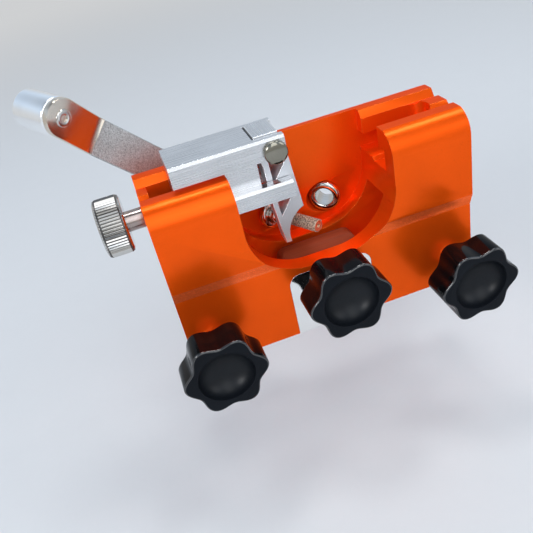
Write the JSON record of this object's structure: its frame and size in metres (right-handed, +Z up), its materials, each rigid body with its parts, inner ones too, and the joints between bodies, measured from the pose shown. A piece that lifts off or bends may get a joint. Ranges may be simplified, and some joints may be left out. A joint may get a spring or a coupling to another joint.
{
  "type": "manual chainsaw sharpener",
  "caption": "Hand-cranked chain sharpener: slotted aluminium body with clamp knobs, angled guide bushes, a sliding pawl stop and a crank that turns a diamond burr.",
  "frame": {"origin": "on the fixed jaw's face of the bar slot, at mid-length, level with the outer clamp screws", "axes": "+X along the guide bar, +Y away from the operator, +Z up"},
  "size_m": [0.1693, 0.0931, 0.1192],
  "materials": {
    "orange_anodised": "satin anodised orange",
    "brushed_aluminium": "brushed, bright chamfers",
    "polished_steel": "polished nickel plate",
    "bare_steel": "machined",
    "black_plastic": "semi-gloss black",
    "jaw_steel": "ground",
    "dark_steel": "blackened",
    "diamond_grit": "diamond grit on a nickel-plated shank",
    "washer_nylon": "matt"
  },
  "bodies": {
    "frame": {"main_body": "orange_anodised", "left_guide_bush": "polished_steel", "right_guide_bush": "polished_steel", "clamp_plate": "polished_steel"},
    "adjuster": {"lead_screw": "polished_steel", "adjuster_knob": "polished_steel", "adjuster_grub_screw": "dark_steel", "retaining_clip": "dark_steel"},
    "slider": {"slider": "brushed_aluminium", "pawl_pivot_screw": "polished_steel", "pawl_spring": "bare_steel"},
    "pawl": {"pawl": "brushed_aluminium"},
    "feed": {"thrust_washer": "washer_nylon"},
    "crank": {"diamond_burr": "diamond_grit", "burr_spindle": "polished_steel", "chuck": "polished_steel", "chuck_set_screw": "dark_steel", "crank_arm": "bare_steel", "crank_lock_washer": "bare_steel", "crank_nut": "polished_steel", "grip_rivet": "bare_steel"},
    "grip": {"grip": "brushed_aluminium"},
    "left_pad": {"left_clamp_pad": "bare_steel"},
    "left_screw": {"left_clamp_screw": "polished_steel", "left_knob": "black_plastic"},
    "right_pad": {"right_clamp_pad": "bare_steel"},
    "right_screw": {"right_clamp_screw": "polished_steel", "right_knob": "black_plastic"},
    "jaw": {"clamp_jaw": "jaw_steel", "jaw_guide_pins": "bare_steel", "jaw_retaining_pin": "bare_steel"},
    "center_screw": {"center_clamp_screw": "polished_steel", "center_knob": "black_plastic"}
  },
  "joints": [
    {"name": "adjuster_turn", "type": "hinge", "parent": "frame", "child": "adjuster", "pos_m": [-0.064, -0.006, 0.0543], "axis": [1, 0, 0], "range_deg": [-18, 2538]},
    {"name": "slider_slide", "type": "slide", "parent": "frame", "child": "slider", "axis": [1, 0, 0], "range_m": [-0.007, 0]},
    {"name": "pawl_lift", "type": "hinge", "parent": "slider", "child": "pawl", "pos_m": [-0.0109, -0.006, 0.0683], "axis": [0, -1, 0], "range_deg": [-5, 2], "stiffness_Nm_per_rad": 0.02},
    {"name": "burr_feed", "type": "slide", "parent": "frame", "child": "feed", "axis": [0.5, -0.866, 0], "range_m": [-0.012, 0.0014]},
    {"name": "crank_spin", "type": "hinge", "parent": "feed", "child": "crank", "pos_m": [-0.02, 0.02064, 0.031], "axis": [-0.5, 0.866, 0], "continuous": true},
    {"name": "grip_spin", "type": "hinge", "parent": "crank", "child": "grip", "pos_m": [-0.08038, 0.01281, 0.09342], "axis": [-0.6096, 0.7775, 0.1545], "continuous": true},
    {"name": "left_pad_slide", "type": "slide", "parent": "frame", "child": "left_pad", "axis": [0, 1, 0], "range_m": [-0.006, 0.003]},
    {"name": "left_knob_turn", "type": "hinge", "parent": "left_pad", "child": "left_screw", "pos_m": [-0.054, -0.03, 0], "axis": [0, 1, 0], "range_deg": [-1746, 882]},
    {"name": "right_pad_slide", "type": "slide", "parent": "frame", "child": "right_pad", "axis": [0, 1, 0], "range_m": [-0.006, 0.003]},
    {"name": "right_knob_turn", "type": "hinge", "parent": "right_pad", "child": "right_screw", "pos_m": [0.054, -0.03, 0], "axis": [0, 1, 0], "range_deg": [-1746, 882]},
    {"name": "jaw_slide", "type": "slide", "parent": "frame", "child": "jaw", "axis": [0, 1, 0], "range_m": [-0.001, 0.0018]},
    {"name": "center_knob_turn", "type": "hinge", "parent": "jaw", "child": "center_screw", "pos_m": [0, -0.03, 0.0125], "axis": [0, 1, 0], "range_deg": [-306, 536.4]}
  ],
  "couplings": [
    {"joint": "adjuster_turn", "follows": "slider_slide", "rad_per_m": -6283.2},
    {"joint": "left_knob_turn", "follows": "left_pad_slide", "rad_per_m": 5026.5},
    {"joint": "right_knob_turn", "follows": "right_pad_slide", "rad_per_m": 5026.5},
    {"joint": "center_knob_turn", "follows": "jaw_slide", "rad_per_m": 5026.5}
  ]
}
